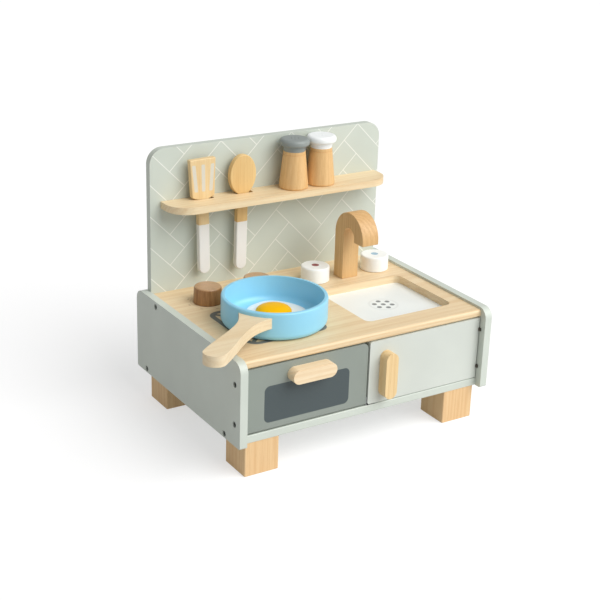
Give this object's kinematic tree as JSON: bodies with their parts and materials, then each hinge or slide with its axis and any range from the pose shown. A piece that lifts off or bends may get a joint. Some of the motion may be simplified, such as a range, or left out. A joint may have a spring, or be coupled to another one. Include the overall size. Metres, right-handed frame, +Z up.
{
  "type": "toy kitchen",
  "caption": "Table-top wooden play kitchen with a drop-down oven door, side-hung cupboard, sink and tap, turning knobs, shelf with utensils and shakers, and a pan with an egg.",
  "frame": {"origin": "on the ground, under the middle of the box round the whole object, pan handle included", "axes": "+X to the right seen from the front, +Y to the back, +Z up"},
  "size_m": [0.3716, 0.2624, 0.302],
  "materials": {
    "sage_board": "satin paint on board",
    "splash_board": "satin paint with printed tile lines",
    "oven_paint": "satin paint with a printed window",
    "pale_board": "satin paint on board",
    "natural_wood": "clear matt lacquer",
    "stained_wood": "clear satin lacquer on brown stain",
    "white_paint": "satin paint",
    "utensil_wood": "clear matt lacquer, white paint on the handle end",
    "pan_paint": "satin paint",
    "egg_white_paint": "satin paint",
    "egg_yolk_paint": "satin paint",
    "grey_paint": "satin paint",
    "dark_screw": "dark zinc",
    "bright_steel": "plain",
    "dark_hinge": "dark bronze"
  },
  "bodies": {
    "cabinet": {"left_side_panel": "sage_board", "right_side_panel": "sage_board", "base_panel": "pale_board", "back_panel": "splash_board", "divider_panel": "pale_board", "worktop": "natural_wood", "sink_tray": "white_paint", "foot_front_left": "natural_wood", "foot_front_right": "natural_wood", "foot_rear_left": "natural_wood", "foot_rear_right": "natural_wood", "shelf": "natural_wood", "tap_spout": "natural_wood", "tap_dowel": "natural_wood", "oven_hinge_pin": "bright_steel", "oven_pivot_bracket": "bright_steel", "cupboard_hinge_frame_leaves": "dark_hinge", "side_screws": "dark_screw", "back_screws": "dark_screw", "foot_screws": "dark_screw", "tray_screws": "dark_screw"},
    "oven_door": {"oven_door": "oven_paint", "oven_handle": "natural_wood", "oven_handle_screws": "dark_screw"},
    "cupboard_door": {"cupboard_door": "pale_board", "cupboard_handle": "natural_wood", "cupboard_handle_screws": "dark_screw", "cupboard_hinge_door_leaves": "dark_hinge"},
    "stove_knob_left": {"stove_knob_left": "stained_wood", "stove_knob_left_screw": "bright_steel"},
    "stove_knob_right": {"stove_knob_right": "stained_wood", "stove_knob_right_screw": "bright_steel"},
    "hot_knob": {"hot_knob": "white_paint", "hot_knob_screw": "bright_steel"},
    "cold_knob": {"cold_knob": "white_paint", "cold_knob_screw": "bright_steel"},
    "pan": {"pan_body": "pan_paint", "pan_handle": "natural_wood", "pan_handle_dowel": "natural_wood"},
    "egg": {"egg_white": "egg_white_paint", "egg_yolk": "egg_yolk_paint"},
    "spatula": {"spatula": "utensil_wood"},
    "spoon": {"spoon": "utensil_wood"},
    "pepper": {"pepper_body": "natural_wood", "pepper_cap": "grey_paint"},
    "salt": {"salt_body": "natural_wood", "salt_cap": "white_paint"}
  },
  "joints": [
    {"name": "oven_door_hinge", "type": "hinge", "parent": "cabinet", "child": "oven_door", "pos_m": [-0.0537, -0.09829, 0.0538], "axis": [1, 0, 0], "range_deg": [0, 90]},
    {"name": "cupboard_door_hinge", "type": "hinge", "parent": "cabinet", "child": "cupboard_door", "pos_m": [0.1758, -0.10429, 0.0863], "axis": [0, 0, 1], "range_deg": [0, 105]},
    {"name": "stove_knob_left_turn", "type": "hinge", "parent": "cabinet", "child": "stove_knob_left", "pos_m": [-0.0847, 0.06221, 0.133], "axis": [0, 0, 1], "continuous": true},
    {"name": "stove_knob_right_turn", "type": "hinge", "parent": "cabinet", "child": "stove_knob_right", "pos_m": [-0.0207, 0.06221, 0.133], "axis": [0, 0, 1], "continuous": true},
    {"name": "hot_knob_turn", "type": "hinge", "parent": "cabinet", "child": "hot_knob", "pos_m": [0.0606, 0.06521, 0.133], "axis": [0, 0, 1], "continuous": true},
    {"name": "cold_knob_turn", "type": "hinge", "parent": "cabinet", "child": "cold_knob", "pos_m": [0.1463, 0.06591, 0.133], "axis": [0, 0, 1], "continuous": true},
    {"name": "pan_lift", "type": "slide", "parent": "cabinet", "child": "pan", "axis": [0, 0, 1], "range_m": [0, 0.12]},
    {"name": "egg_lift", "type": "slide", "parent": "pan", "child": "egg", "axis": [0, 0, 1], "range_m": [0, 0.05]},
    {"name": "spatula_lift", "type": "slide", "parent": "cabinet", "child": "spatula", "axis": [-0.0244, 0, 0.9997], "range_m": [0, 0.1]},
    {"name": "spoon_lift", "type": "slide", "parent": "cabinet", "child": "spoon", "axis": [0.014, 0, 0.9999], "range_m": [0, 0.102]},
    {"name": "pepper_lift", "type": "slide", "parent": "cabinet", "child": "pepper", "axis": [0, 0, 1], "range_m": [0, 0.07]},
    {"name": "salt_lift", "type": "slide", "parent": "cabinet", "child": "salt", "axis": [0, 0, 1], "range_m": [0, 0.07]}
  ]
}
